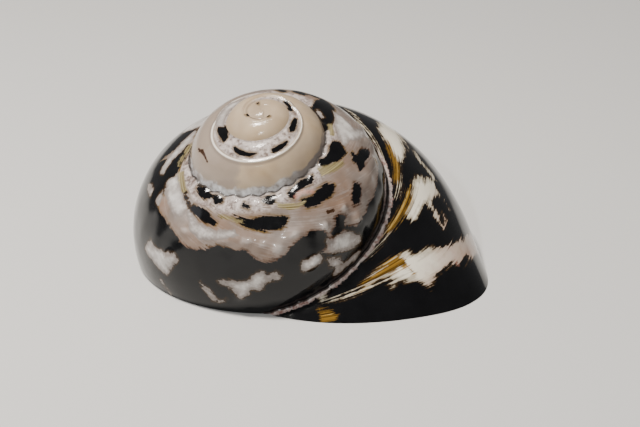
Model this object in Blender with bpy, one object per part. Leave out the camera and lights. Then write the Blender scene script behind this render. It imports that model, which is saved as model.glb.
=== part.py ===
"""Top shell: one right-handed spiral shell lying on its aperture, apex up.

Frame: +Z up, the flat rim and base rest on z = 0, the wide last whorl is towards +X
and the apex leans towards -Y.
"""
import math

import bpy
import numpy as np
from mathutils import Matrix, Vector

MM = 0.001

# The spiral. One turn of x is one turn of growth; x = 0 is the front of the nodular whorl.
FIRST_TURN = -4.0
LAST_TURN = 1.04
GROWTH_PER_TURN = 0.672
GROWTH_CHANGE = -0.0226
CENTRE_RADIUS = 13.31 * MM
CENTRE_DROP = 33.07 * MM
DROP_GAIN = 0.113
SECTION_RADIAL = 18.40 * MM
SECTION_AXIAL = 22.85 * MM
SECTION_GAIN = -0.125
SECTION_TILT = 0.054
APEX_RISE = 1.05 * MM
APEX_OPENING = 0.6

# The last part of the tube drops to the lip, flares outward and has a corner where it
# meets the ground; the side of the nodular whorl swells a little.
LIP_DESCENT = 2.0 * MM
LIP_SQUARENESS = 1.4
LIP_FLARE = 0.16
LIP_CORNER = 0.40
LIP_CORNER_PLACE = 0.862
LIP_CORNER_WIDTH = 0.055
LIP_CORNER_POWER = 1.6
LIP_PINCH = 0.045
LIP_PINCH_PLACE = 0.73
SIDE_SWELL = 0.035
SIDE_SWELL_PLACE = 0.22

# Relief: beaded rows on the front of the nodular whorl, which drift across it as it grows,
# and one low cord on the whorl above.
NODULES_PER_TURN = 26
NODULE_ROWS = ((0.47, 0.70 * MM, 0.5), (0.71, 0.40 * MM, 0.0))
NODULE_WIDTH = 0.08
NODULE_DRIFT = 0.75
SUTURE_WAVE = 0.35 * MM
CORD_PLACE = 0.50
CORD_HEIGHT = 0.55 * MM

# The pose: the axis leans forward, then to the left about a line near the horizontal.
FORWARD_LEAN = math.radians(20.0)
SIDE_LEAN = math.radians(8.7)
SIDE_LEAN_LINE = Vector((0.0, -0.934, 0.358))
AXIS_HEIGHT = 45.3 * MM
AXIS_LEFT = -11.215 * MM
AXIS_FORWARD = -18.380 * MM

# The hollow behind the aperture.
WALL = 2.4 * MM
INNER_WALL = 1.2 * MM
HOLLOW_START = 0.38
HOLLOW_END = 1.00
OPENING_START = 0.47
OPENING_CURVE = 0.06
OPENING_LENGTH = 0.14
COLUMELLA_RADIUS = 9.0 * MM
END_DIVE = 9.0 * MM

# Mesh steps.
STEPS_PER_TURN = 104
BAND_FRACTIONS = (0.0, 0.06, 0.12, 0.22, 0.34, 0.46, 0.59, 0.72, 0.87, 1.0)
UNDERSIDE_STEPS = 5
HOLLOW_SPOKES = 24
HOLLOW_STEPS = 52


def ramp(low, high, value):
    t = np.clip((value - low) / (high - low), 0.0, 1.0)
    return t * t * (3.0 - 2.0 * t)


def azimuth(x):
    """Angle of the growth front, clockwise from the back as seen from the apex."""
    return 2.0 * math.pi * x + math.pi


def section(x):
    """Centre radius, centre drop and the two half sizes of the tube at growth x."""
    scale = np.exp(GROWTH_PER_TURN * x + GROWTH_CHANGE * x * x)
    radius = CENTRE_RADIUS * scale
    drop = CENTRE_DROP * scale * (1.0 + DROP_GAIN * x) + LIP_DESCENT * ramp(0.86, 1.04, x)
    half = scale * (1.0 + SECTION_GAIN * x)
    return radius, drop, SECTION_RADIAL * half, SECTION_AXIAL * half


def bump(centre, width, x):
    return np.exp(-((x - centre) / width) ** 2)


def flare(x, angle):
    """How much wider than the plain tube the outer side is at growth x."""
    facing = np.maximum(np.cos(angle), 0.0)
    wide = LIP_FLARE * ramp(0.84, 0.96, x) - LIP_PINCH * bump(LIP_PINCH_PLACE, 0.08, x)
    wide = wide + SIDE_SWELL * bump(SIDE_SWELL_PLACE, 0.15, x)
    corner = LIP_CORNER * bump(LIP_CORNER_PLACE, LIP_CORNER_WIDTH, x)
    return 1.0 + wide * facing + corner * facing ** LIP_CORNER_POWER


def outline(x, angle):
    """Point of the tube outline; angle 0 is outermost and a quarter turn is downmost."""
    radius, drop, radial, axial = section(x)
    power = 1.0 - (1.0 - 2.0 / (2.0 + LIP_SQUARENESS * ramp(0.45, 0.65, x))) * (
        (np.sin(angle) > 0.0) & (np.cos(angle) > 0.0))
    across = radial * flare(x, angle) * np.sign(np.cos(angle)) * np.abs(np.cos(angle)) ** power
    along = axial * np.sign(np.sin(angle)) * np.abs(np.sin(angle)) ** power
    c = math.cos(SECTION_TILT)
    s = math.sin(SECTION_TILT)
    return radius + across * c - along * s, drop + across * s + along * c


def own_axes(x, rho, drop):
    """The same point in the section's own axes, each divided by its half size."""
    centre_radius, centre_drop, radial, axial = section(x)
    c = math.cos(SECTION_TILT)
    s = math.sin(SECTION_TILT)
    across = (rho - centre_radius) * c + (drop - centre_drop) * s
    along = -(rho - centre_radius) * s + (drop - centre_drop) * c
    return across / radial, along / axial


def suture_angle(x):
    """Angle on the tube at x where it meets the whorl before it, seen from outside."""
    angles = np.radians(np.linspace(25.0, -175.0, 801))
    rho, drop = outline(x[:, None], angles[None, :])
    across, along = own_axes(x[:, None] - 1.0, rho, drop)
    outside = across * across + along * along - 1.0
    result = np.empty(len(x))
    for row, values in enumerate(outside):
        crossing = np.nonzero((values[:-1] > 0.0) & (values[1:] <= 0.0))[0]
        if len(crossing) == 0:
            result[row] = angles[int(np.argmin(values))]
            continue
        k = crossing[0]
        share = values[k] / (values[k] - values[k + 1])
        result[row] = angles[k] + (angles[k + 1] - angles[k]) * share
    return result


def underside_angle(x):
    """Angle where the underside of the tube comes close to the shell's own axis."""
    radius, _drop, radial, _axial = section(x)
    return math.pi - np.arccos(np.clip(radius / radial, -1.0, 1.0)) - 0.06


def suture_shift(x):
    """Offset of the suture: the pull to the apex at the start, then its wave."""
    rho, drop = outline(x, suture_angle(x))
    pull = 1.0 - ramp(FIRST_TURN + 1.0, FIRST_TURN + 1.0 + APEX_OPENING, x)
    across, along = own_axes(x - 1.0, rho, drop)
    on_last = np.arctan2(along, across)
    step = 0.01
    rho_a, drop_a = outline(x - 1.0, on_last)
    rho_b, drop_b = outline(x - 1.0, on_last + step)
    length = np.hypot(rho_b - rho_a, drop_b - drop_a)
    amount = SUTURE_WAVE * np.cos(2.0 * math.pi * NODULES_PER_TURN * x)
    amount = amount * ramp(-0.75, -0.55, x) * (1.0 - ramp(0.35, 0.55, x))
    shift_rho = amount * (rho_b - rho_a) / length - rho * pull
    shift_drop = amount * (drop_b - drop_a) / length - (drop + APEX_RISE) * pull
    return shift_rho, shift_drop


def relief(x, place):
    """Height of nodules and cord over the plain tube."""
    height = np.zeros(np.broadcast(x, place).shape)
    nodular = ramp(-0.38, -0.22, x) * (1.0 - ramp(0.16, 0.30, x))
    drift = np.clip(-NODULE_DRIFT * x, -0.12, 0.13)
    for row, tall, phase in NODULE_ROWS:
        across = bump(row + drift, NODULE_WIDTH, place)
        bead = 0.5 + 0.5 * np.cos(2.0 * math.pi * (NODULES_PER_TURN * x + phase))
        height = height + tall * nodular * across * (0.25 + 0.75 * bead)
    cord = ramp(-2.0, -1.6, x) * (1.0 - ramp(-0.70, -0.50, x))
    height = height + CORD_HEIGHT * cord * np.exp(-((place - CORD_PLACE) / 0.12) ** 2)
    return height * ramp(0.0, 0.05, place) * (1.0 - ramp(0.90, 1.0, place))


def place_point(rho, drop, x):
    turn = azimuth(x)
    return rho * np.sin(turn), rho * np.cos(turn), -drop


def stand():
    """Rotation and lift from the shell's own frame to the resting frame."""
    lean = Matrix.Rotation(SIDE_LEAN, 4, SIDE_LEAN_LINE) @ Matrix.Rotation(FORWARD_LEAN, 4, "X")
    return Matrix.Translation((AXIS_LEFT, AXIS_FORWARD, AXIS_HEIGHT)) @ lean


def band_points(x):
    """Radius and drop of every vertex across the visible band, one row per step."""
    fractions = np.array(BAND_FRACTIONS)[None, :]
    upper = suture_angle(x)
    rho_next, drop_next = outline(x + 1.0, suture_angle(x + 1.0))
    across, along = own_axes(x, rho_next, drop_next)
    lower = np.arctan2(along, across)
    angle = upper[:, None] + (lower - upper)[:, None] * fractions
    column = x[:, None]
    rho, drop = outline(column, angle)
    rho_b, drop_b = outline(column, angle + 0.01)
    length = np.hypot(rho_b - rho, drop_b - drop)
    height = relief(column, fractions)
    out_rho = rho + height * (drop_b - drop) / length
    out_drop = drop - height * (rho_b - rho) / length
    own_rho, own_drop = suture_shift(x)
    next_rho, next_drop = suture_shift(x + 1.0)
    reach = 1.0 - 0.86 * ramp(FIRST_TURN + 1.0, FIRST_TURN + 1.0 + APEX_OPENING, column)
    near_top = 1.0 - ramp(0.0, reach, fractions)
    near_bottom = 1.0 - ramp(0.0, 0.12, 1.0 - fractions)
    out_rho = out_rho + own_rho[:, None] * near_top + next_rho[:, None] * near_bottom
    out_drop = out_drop + own_drop[:, None] * near_top + next_drop[:, None] * near_bottom
    return np.maximum(out_rho, 0.0), out_drop, lower


def shell_body_mesh():
    """Closed solid bounded by the spiral band, its underside and the wall at its end."""
    count = int(round((LAST_TURN - FIRST_TURN) * STEPS_PER_TURN))
    x = FIRST_TURN + np.arange(count + 1) / STEPS_PER_TURN
    rho, drop, lower = band_points(x)
    bands = len(BAND_FRACTIONS) - 1
    verts = []
    index = {}

    def add(key, r, d, at):
        index[key] = len(verts)
        verts.append(place_point(float(r), float(d), float(at)))

    add("apex", 0.0, -APEX_RISE, x[0])
    index[(STEPS_PER_TURN, 0)] = index["apex"]
    last_shared = count - STEPS_PER_TURN
    for i in range(STEPS_PER_TURN, count + 1):
        for j in range(0 if i > STEPS_PER_TURN else 1, bands):
            add((i, j), rho[i, j], drop[i, j], x[i])
    for i in range(count + 1):
        if i <= last_shared:
            index[(i, bands)] = index[(i + STEPS_PER_TURN, 0)]
        else:
            add((i, bands), rho[i, bands], drop[i, bands], x[i])
    end_angle = underside_angle(x)
    for i in range(last_shared, count + 1):
        for j in range(1, UNDERSIDE_STEPS + 1):
            angle = lower[i] + (end_angle[i] - lower[i]) * j / UNDERSIDE_STEPS
            r, d = outline(x[i], angle)
            r = 0.0 if j == UNDERSIDE_STEPS else max(float(r), 0.0)
            add((i, bands + j), r, d, x[i])

    faces = []
    for i in range(STEPS_PER_TURN):
        tip = [index["apex"], index[(i, bands)], index[(i + 1, bands)]]
        if len(set(tip)) == 3:
            faces.append(tip)
    step = [index[(STEPS_PER_TURN, j)] for j in range(bands, 0, -1)]
    faces.append([index["apex"]] + step)
    for i in range(STEPS_PER_TURN, count):
        rows = bands + (UNDERSIDE_STEPS if i >= last_shared else 0)
        for j in range(rows):
            ring = [index[(i, j)], index[(i, j + 1)], index[(i + 1, j + 1)], index[(i + 1, j)]]
            face = []
            for v in ring:
                if v not in face:
                    face.append(v)
            faces.append(face)
    rows = bands + UNDERSIDE_STEPS
    wall = [index[(count, j)] for j in range(rows + 1)]
    wall += [index[(i, rows)] for i in range(count - 1, last_shared - 1, -1)]
    wall += [index[(last_shared, j)] for j in range(rows - 1, bands, -1)]
    faces.append(wall)
    return verts, faces


def ray_to_ellipse(x, rho0, drop0, dr, dd, grow, leaving):
    """Distance along rays to a section outline made larger by grow; inf where missed."""
    radius, drop, radial, axial = section(x)
    c = math.cos(SECTION_TILT)
    s = math.sin(SECTION_TILT)
    px = ((rho0 - radius) * c + (drop0 - drop) * s) / (radial + grow)
    py = (-(rho0 - radius) * s + (drop0 - drop) * c) / (axial + grow)
    vx = (dr * c + dd * s) / (radial + grow)
    vy = (-dr * s + dd * c) / (axial + grow)
    a = vx * vx + vy * vy
    b = px * vx + py * vy
    k = px * px + py * py - 1.0
    disc = b * b - a * k
    root = np.sqrt(np.maximum(disc, 0.0))
    distance = (-b + root) / a if leaving else (-b - root) / a
    return np.where((disc > 0.0) & (distance > 0.0), distance, np.inf)


def hollow_mesh():
    """Closed cutter for the space inside the tube, open through the resting plane."""
    spokes = np.arange(HOLLOW_SPOKES) * 2.0 * math.pi / HOLLOW_SPOKES
    pose = stand()
    rings = []
    for i in range(HOLLOW_STEPS + 1):
        share = i / HOLLOW_STEPS
        x = HOLLOW_START + (HOLLOW_END - HOLLOW_START) * share
        radius, drop, radial, axial = section(x)
        end_round = max(share - 0.84, 0.0) / 0.16
        rho0 = radius + 0.42 * radial
        drop0 = drop + 0.05 * axial + END_DIVE * end_round ** 2
        dr = np.cos(spokes)
        dd = np.sin(spokes)
        reach = ray_to_ellipse(x, rho0, drop0, dr, dd, -WALL, True) * flare(x, spokes)
        reach = np.minimum(reach, ray_to_ellipse(x - 1.0, rho0, drop0, dr, dd, INNER_WALL, False))
        inward = np.where(dr < -1e-6, (rho0 - COLUMELLA_RADIUS * (0.6 + 0.6 * x)) / -dr, np.inf)
        reach = np.minimum(reach, inward)
        here = pose @ Vector(place_point(rho0, drop0, x))
        slope = np.array([(pose @ Vector(place_point(rho0 + a * MM, drop0 + b * MM, x))).z - here.z
                          for a, b in zip(dr, dd)]) / MM
        start = OPENING_START + OPENING_CURVE * dr * dr
        floor = WALL - 60.0 * MM * ramp(start, start + OPENING_LENGTH, x)
        down = np.where(slope < -1e-6, (floor - here.z) / slope, np.inf)
        reach = np.minimum(reach, np.where(down > 0.0, down, 0.2 * MM))
        for _ in range(3):
            softer = 0.25 * np.roll(reach, 1) + 0.5 * reach + 0.25 * np.roll(reach, -1)
            reach = np.minimum(reach, softer)
        start_round = 1.0 - min(share / 0.18, 1.0)
        taper = math.sqrt(max(1.0 - start_round ** 2 - end_round ** 2, 0.0))
        reach = reach * max(taper, 0.06)
        rings.append([place_point(rho0 + r * a, drop0 + r * b, x)
                      for r, a, b in zip(reach, dr, dd)])
    verts = [point for ring in rings for point in ring]
    n = HOLLOW_SPOKES
    faces = []
    for i in range(HOLLOW_STEPS):
        for j in range(n):
            k = (j + 1) % n
            faces.append([i * n + j, i * n + k, (i + 1) * n + k, (i + 1) * n + j])
    faces.append([j for j in range(n - 1, -1, -1)])
    faces.append([HOLLOW_STEPS * n + j for j in range(n)])
    return verts, faces


def make_object(name, verts, faces, collection, pose):
    mesh = bpy.data.meshes.new(name)
    mesh.from_pydata([tuple(v) for v in verts], [], faces)
    mesh.transform(pose)
    mesh.validate()
    mesh.update()
    obj = bpy.data.objects.new(name, mesh)
    collection.objects.link(obj)
    return obj


def face_outward(obj):
    """Turn the faces outward when the signed volume is negative."""
    mesh = obj.data
    mesh.calc_loop_triangles()
    volume = 0.0
    for tri in mesh.loop_triangles:
        a, b, c = (mesh.vertices[k].co for k in tri.vertices)
        volume += a.dot(b.cross(c)) / 6.0
    if volume < 0.0:
        mesh.flip_normals()


def cut(body, cutter, name):
    step = body.modifiers.new(name, "BOOLEAN")
    step.operation = "DIFFERENCE"
    step.solver = "EXACT"
    step.object = cutter


def nacre_and_glaze():
    """Polished black, white and brown shell in one plain colour for the solid."""
    material = bpy.data.materials.new("polished shell")
    material.use_nodes = True
    surface = material.node_tree.nodes["Principled BSDF"]
    surface.inputs["Base Color"].default_value = (0.19, 0.16, 0.13, 1.0)
    surface.inputs["Roughness"].default_value = 0.22
    surface.inputs["Metallic"].default_value = 0.0
    material.diffuse_color = (0.19, 0.16, 0.13, 1.0)
    return material


def main():
    for obj in list(bpy.data.objects):
        bpy.data.objects.remove(obj, do_unlink=True)
    scene = bpy.context.scene
    parts = bpy.data.collections.new("top shell")
    cutters = bpy.data.collections.new("cutters")
    scene.collection.children.link(parts)
    scene.collection.children.link(cutters)

    pose = stand()
    verts, faces = shell_body_mesh()
    shell = make_object("shell", verts, faces, parts, pose)
    face_outward(shell)
    shell.data.materials.append(nacre_and_glaze())

    verts, faces = hollow_mesh()
    hollow = make_object("hollow", verts, faces, cutters, pose)
    face_outward(hollow)

    side = 0.2
    deep = 0.1
    corners = [(a * side, b * side, c) for a in (-1, 1) for b in (-1, 1) for c in (-deep, 0.0)]
    sides = [(0, 1, 3, 2), (4, 6, 7, 5), (0, 4, 5, 1), (2, 3, 7, 6), (0, 2, 6, 4), (1, 5, 7, 3)]
    ground = make_object("ground", corners, sides, cutters, Matrix.Identity(4))
    face_outward(ground)

    for cutter in (hollow, ground):
        cutter.display_type = "WIRE"
        cutter.hide_render = True
    cut(shell, hollow, "aperture hollow")
    cut(shell, ground, "resting plane")


main()
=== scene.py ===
import math
import random

import bmesh
import bpy
import numpy as np
from mathutils import Matrix, Vector


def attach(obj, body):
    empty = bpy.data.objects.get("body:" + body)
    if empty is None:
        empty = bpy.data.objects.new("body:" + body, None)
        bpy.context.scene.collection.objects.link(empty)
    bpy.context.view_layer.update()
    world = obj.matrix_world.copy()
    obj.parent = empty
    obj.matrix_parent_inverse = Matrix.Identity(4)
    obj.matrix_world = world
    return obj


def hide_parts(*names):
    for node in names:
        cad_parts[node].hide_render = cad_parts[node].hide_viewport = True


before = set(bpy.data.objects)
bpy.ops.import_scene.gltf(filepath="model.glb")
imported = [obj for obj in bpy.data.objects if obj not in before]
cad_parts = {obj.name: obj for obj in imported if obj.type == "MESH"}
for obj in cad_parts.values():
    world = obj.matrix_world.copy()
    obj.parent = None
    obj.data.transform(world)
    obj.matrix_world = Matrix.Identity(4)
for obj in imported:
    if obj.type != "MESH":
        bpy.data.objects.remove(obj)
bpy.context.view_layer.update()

mm = 0.001

# The spiral law. Growth is counted in turns; 0 is the front of the nodular whorl.
law = {
    "growth per turn": 0.672,
    "growth change": -0.0226,
    "centre radius": 13.31 * mm,
    "centre drop": 33.07 * mm,
    "drop gain": 0.113,
    "section radial": 18.40 * mm,
    "section axial": 22.85 * mm,
    "section gain": -0.125,
    "section tilt": 0.054,
    "lip descent": 2.0 * mm,
    "lip squareness": 1.4,
    "lip flare": 0.16,
    "lip corner": 0.40,
    "lip corner place": 0.862,
    "lip corner width": 0.055,
    "lip corner power": 1.6,
    "lip pinch": 0.045,
    "lip pinch place": 0.73,
    "side swell": 0.035,
    "side swell place": 0.22,
    "nodules per turn": 26.0,
    "upper row height": 0.05 * mm,
    "shoulder row height": 0.50 * mm,
    "lower row height": 0.25 * mm,
    "cord height": 0.32 * mm,
    "unevenness": 0.10 * mm,
    "seed": 7.0,
}
# Growth over which a form of the law comes in, and how wide a local one is.
onset = {
    "lip descent": (0.86, 1.04),
    "lip squareness": (0.45, 0.65),
    "lip flare": (0.84, 0.96),
    "pinch width": 0.08,
    "swell width": 0.15,
}
pose = {
    "forward lean": math.radians(20.0),
    "side lean": math.radians(8.7),
    "side lean line": Vector((0.0, -0.934, 0.358)),
    "lift": Vector((-11.215 * mm, -18.380 * mm, 45.3 * mm)),
}
stand = Matrix.Translation(pose["lift"]) @ Matrix.Rotation(
    pose["side lean"], 4, pose["side lean line"]) @ Matrix.Rotation(pose["forward lean"], 4, "X")

tiltCos = math.cos(law["section tilt"])
tiltSin = math.sin(law["section tilt"])


def ramp(low, high, value):
    t = np.clip((value - low) / (high - low), 0.0, 1.0)
    return t * t * (3.0 - 2.0 * t)


def bump(centre, width, x):
    return np.exp(-((x - centre) / width) ** 2)


# Centre and half sizes of the tube's section at growth x.
def section(x):
    scale = np.exp(law["growth per turn"] * x + law["growth change"] * x * x)
    drop = law["centre drop"] * scale * (1.0 + law["drop gain"] * x)
    drop = drop + law["lip descent"] * ramp(*onset["lip descent"], x)
    half = scale * (1.0 + law["section gain"] * x)
    radius = law["centre radius"] * scale
    return radius, drop, law["section radial"] * half, law["section axial"] * half


# How much wider than the plain tube the outer side is.
def flare(x, angle):
    facing = np.maximum(np.cos(angle), 0.0)
    pinch = law["lip pinch"] * bump(law["lip pinch place"], onset["pinch width"], x)
    swell = law["side swell"] * bump(law["side swell place"], onset["swell width"], x)
    wide = law["lip flare"] * ramp(*onset["lip flare"], x) - pinch + swell
    corner = law["lip corner"] * bump(law["lip corner place"], law["lip corner width"], x)
    return 1.0 + wide * facing + corner * facing ** law["lip corner power"]


def outline(x, angle):
    radius, drop, radial, axial = section(x)
    square = law["lip squareness"] * ramp(*onset["lip squareness"], x)
    lowerOuter = (np.sin(angle) > 0.0) & (np.cos(angle) > 0.0)
    power = 1.0 - (1.0 - 2.0 / (2.0 + square)) * lowerOuter
    across = radial * flare(x, angle) * np.sign(np.cos(angle)) * np.abs(np.cos(angle)) ** power
    along = axial * np.sign(np.sin(angle)) * np.abs(np.sin(angle)) ** power
    rho = radius + across * tiltCos - along * tiltSin
    return rho, drop + across * tiltSin + along * tiltCos


# A point seen along the section's own axes, in half sizes.
def ownAxes(x, rho, drop):
    centreRadius, centreDrop, radial, axial = section(x)
    across = (rho - centreRadius) * tiltCos + (drop - centreDrop) * tiltSin
    along = -(rho - centreRadius) * tiltSin + (drop - centreDrop) * tiltCos
    return across / radial, along / axial


def placePoint(rho, drop, x):
    turn = math.tau * x + math.pi
    return rho * np.sin(turn), rho * np.cos(turn), -drop


# The net that the spiral is grown on. Reach is a share of the way across the band.
band = {
    "first turn": -4.0,
    "last turn": 1.04,
    "steps per turn": 312,
    "rows": 44,
    "underside rows": 16,
    "apex rise": 1.05 * mm,
    "apex opening": 0.6,
    "apex reach lost": 0.86,
    "open growth": -2.0,
    "suture reach": 0.08,
    "last suture reach lost": 0.035,
    "lower suture reach": 0.12,
    "underside angle": 1.57,
    "axis margin": 0.06,
    "suture wave": 0.35 * mm,
    "torn wave": 0.12 * mm,
    "torn waves per turn": (41.0, 67.0),
}


# Where the tube at x meets the whorl before it, seen from outside.
def sutureAngle(x):
    angles = np.radians(np.linspace(25.0, -175.0, 1201))
    rho, drop = outline(x[:, None], angles[None, :])
    across, along = ownAxes(x[:, None] - 1.0, rho, drop)
    outside = across * across + along * along - 1.0
    crossing = (outside[:, :-1] > 0.0) & (outside[:, 1:] <= 0.0)
    found = crossing.any(axis=1)
    k = np.where(found, crossing.argmax(axis=1), outside.argmin(axis=1).clip(0, 1199))
    each = np.arange(len(x))
    share = outside[each, k] / (outside[each, k] - outside[each, k + 1])
    share = np.where(found, share, 0.0)
    return angles[k] + (angles[k + 1] - angles[k]) * share


# 0 where the band is still drawn together at the apex, 1 where it is open.
def opened(x):
    start = band["first turn"] + 1.0
    return ramp(start, start + band["apex opening"], x)


# The suture is pulled to the apex at the start and waves along the nodular whorl.
def sutureShift(x):
    rho, drop = outline(x, sutureAngle(x))
    pull = 1.0 - opened(x)
    across, along = ownAxes(x - 1.0, rho, drop)
    onLast = np.arctan2(along, across)
    rhoA, dropA = outline(x - 1.0, onLast)
    rhoB, dropB = outline(x - 1.0, onLast + 0.01)
    length = np.hypot(rhoB - rhoA, dropB - dropA)
    amount = band["suture wave"] * np.cos(math.tau * law["nodules per turn"] * x)
    amount = amount * ramp(-0.75, -0.55, x) * (1.0 - ramp(0.35, 0.55, x))
    # The last whorl joins with a ragged edge instead.
    long, short = band["torn waves per turn"]
    torn = np.sin(math.tau * long * x) + np.sin(math.tau * short * x + 1.0)
    amount = amount + band["torn wave"] * torn * ramp(0.5, 0.65, x)
    shiftRho = amount * (rhoB - rhoA) / length - rho * pull
    shiftDrop = amount * (dropB - dropA) / length - (drop + band["apex rise"]) * pull
    return shiftRho, shiftDrop


# A closed net of vertices that know their growth, section angle, place across the band and shift.
def bandNet():
    steps = band["steps per turn"]
    rows = band["rows"]
    underRows = band["underside rows"]
    count = int(round((band["last turn"] - band["first turn"]) * steps))
    x = band["first turn"] + np.arange(count + 1) / steps
    fractions = np.linspace(0.0, 1.0, rows + 1)[None, :]
    upper = sutureAngle(x)
    rhoNext, dropNext = outline(x + 1.0, sutureAngle(x + 1.0))
    across, along = ownAxes(x, rhoNext, dropNext)
    lower = np.arctan2(along, across)
    angle = upper[:, None] + (lower - upper)[:, None] * fractions
    ownRho, ownDrop = sutureShift(x)
    nextRho, nextDrop = sutureShift(x + 1.0)
    column = x[:, None]
    reach = 1.0 - band["apex reach lost"] * opened(column)
    openReach = band["suture reach"] - band["last suture reach lost"] * ramp(0.35, 0.5, column)
    reach = np.where(column > band["open growth"], openReach, reach)
    nearTop = 1.0 - ramp(0.0, reach, fractions)
    nearBottom = 1.0 - ramp(0.0, band["lower suture reach"], 1.0 - fractions)
    shiftRho = ownRho[:, None] * nearTop + nextRho[:, None] * nearBottom
    shiftDrop = ownDrop[:, None] * nearTop + nextDrop[:, None] * nearBottom
    radius, _drop, radial, _axial = section(x)
    toAxisAngle = np.arccos(np.clip(radius / radial, -1.0, 1.0))
    endAngle = math.pi - toAxisAngle - band["axis margin"]
    values = []
    index = {}
    under = {}

    def add(key, growth, turnAngle, place, rho, drop):
        index[key] = len(values)
        values.append((growth, turnAngle, place, rho, drop))

    apexRho, apexDrop = outline(x[steps], upper[steps])
    add("apex", x[steps], upper[steps], 0.0, -apexRho, -apexDrop - band["apex rise"])
    index[(steps, 0)] = index["apex"]
    lastShared = count - steps
    for i in range(steps, count + 1):
        for j in range(0 if i > steps else 1, rows):
            add((i, j), x[i], angle[i, j], fractions[0, j], shiftRho[i, j], shiftDrop[i, j])
    for i in range(count + 1):
        if i <= lastShared:
            index[(i, rows)] = index[(i + steps, 0)]
        else:
            add((i, rows), x[i], lower[i], 1.0, shiftRho[i, rows], shiftDrop[i, rows])
    for i in range(lastShared, count + 1):
        for j in range(1, underRows + 1):
            turnAngle = lower[i] + (endAngle[i] - lower[i]) * j / underRows
            place = 1.0 + (turnAngle - lower[i]) / band["underside angle"]
            toAxis = 0.0
            if j == underRows:
                toAxis = -float(outline(x[i], turnAngle)[0])
            add((i, rows + j), x[i], turnAngle, place, toAxis, 0.0)
            under[(i, rows + j)] = place
    faces = []
    corners = []

    # A face also keeps each corner's own growth and place: a suture point has two of them.
    def addFace(keys):
        points = [index[key] for key in keys]
        kept = [k for k in range(len(keys)) if points[k] not in points[:k]]
        if len(kept) < 3:
            return
        faces.append([points[k] for k in kept])
        for k in kept:
            i, j = keys[k]
            corners.append((x[i], under.get((i, j), j / rows)))

    for i in range(steps):
        index[(i, 0)] = index["apex"]
        addFace([(i, 0), (i, rows), (i + 1, rows)])
    addFace([(steps, j) for j in [0] + list(range(rows, 0, -1))])
    for i in range(steps, count):
        high = rows + (underRows if i >= lastShared else 0)
        for j in range(high):
            addFace([(i, j), (i, j + 1), (i + 1, j + 1), (i + 1, j)])
    high = rows + underRows
    wall = [(count, j) for j in range(high + 1)]
    wall += [(i, high) for i in range(count - 1, lastShared - 1, -1)]
    wall += [(lastShared, j) for j in range(high - 1, rows, -1)]
    addFace(wall)
    return np.array(values), faces, np.array(corners)


def addObject(name, data):
    added = bpy.data.objects.new(name, data)
    bpy.context.scene.collection.objects.link(added)
    return added


# Adds a node, sets its properties, and sets or links its inputs.
def put(tree, kind, settings, inputs):
    node = tree.nodes.new(kind)
    for name, value in settings.items():
        setattr(node, name, value)
    for name, value in inputs.items():
        source = value.socket if isinstance(value, Number) else value
        if isinstance(source, bpy.types.NodeSocket):
            tree.links.new(source, node.inputs[name])
        else:
            node.inputs[name].default_value = source
    return node


# A number in a node tree that can be added, multiplied and so on like any other.
class Number:
    def __init__(self, socket):
        self.socket = socket

    def calc(self, operation, *others):
        terms = dict(enumerate((self,) + others))
        tree = self.socket.id_data
        return Number(put(tree, "ShaderNodeMath", {"operation": operation}, terms).outputs[0])

    def __add__(self, other):
        return self.calc("ADD", other)

    def __sub__(self, other):
        return self.calc("SUBTRACT", other)

    def __mul__(self, other):
        return self.calc("MULTIPLY", other)

    def __truediv__(self, other):
        return self.calc("DIVIDE", other)

    def clamp(self, low=0.0, high=1.0):
        return self.calc("MAXIMUM", low).calc("MINIMUM", high)

    def ramp(self, low, high):
        span = ((self - low) / (high - low)).clamp()
        return span * span * (span * -2.0 + 3.0)

    def hump(self, centre, width):
        offset = (self - centre) / width
        return (offset * offset * -1.0).calc("EXPONENT")


# Relief on the band: rows of nodules by place and width across it, and the cord on the spire.
relief = {
    "upper row": (0.12, 0.07),
    "shoulder slope": -0.75,
    "shoulder place": 0.43,
    "shoulder limits": (0.33, 0.60),
    "shoulder width": 0.085,
    "lower row below": 0.24,
    "lower row width": 0.075,
    "bead share": 0.7,
    "bead power": 1.6,
    "size spread": 2.2,
    "turn length": 176.0,  # mm at growth 0, like the band height
    "band height": 31.1,
    "cord summit": (-0.98, 0.435),
    "cord fall": -3.2,
    "cord lowest": 0.16,
    "cord width": 0.032,
}
# Single nodules that show: growth, place, half length and half width in mm, height in mm.
nodules = (
    (0.186, 0.288, 1.7, 1.2, 0.6), (0.148, 0.368, 2.2, 1.1, 0.9),
    (0.118, 0.375, 1.6, 1.3, 0.8), (0.084, 0.378, 2.6, 1.0, 0.7),
    (0.048, 0.385, 2.0, 1.0, 0.6), (0.031, 0.425, 1.6, 1.3, 0.7),
    (0.010, 0.498, 1.7, 1.6, 1.0), (-0.013, 0.428, 2.4, 1.0, 0.7),
    (-0.061, 0.503, 1.3, 1.4, 1.0), (-0.100, 0.490, 1.3, 1.2, 0.8),
    (-0.112, 0.670, 1.3, 1.2, 0.8), (-0.064, 0.698, 1.3, 1.3, 1.0),
    (-0.028, 0.712, 1.4, 1.1, 1.1), (0.061, 0.810, 1.2, 1.0, 0.6),
    (0.163, 0.612, 1.4, 1.3, 0.9),
)


# The cord's place across the band, highest where the spire faces the viewer.
def cordPlace(growth):
    summit, highest = relief["cord summit"]
    away = growth - summit
    return (away * away * relief["cord fall"] + highest).calc("MAXIMUM", relief["cord lowest"])


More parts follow.
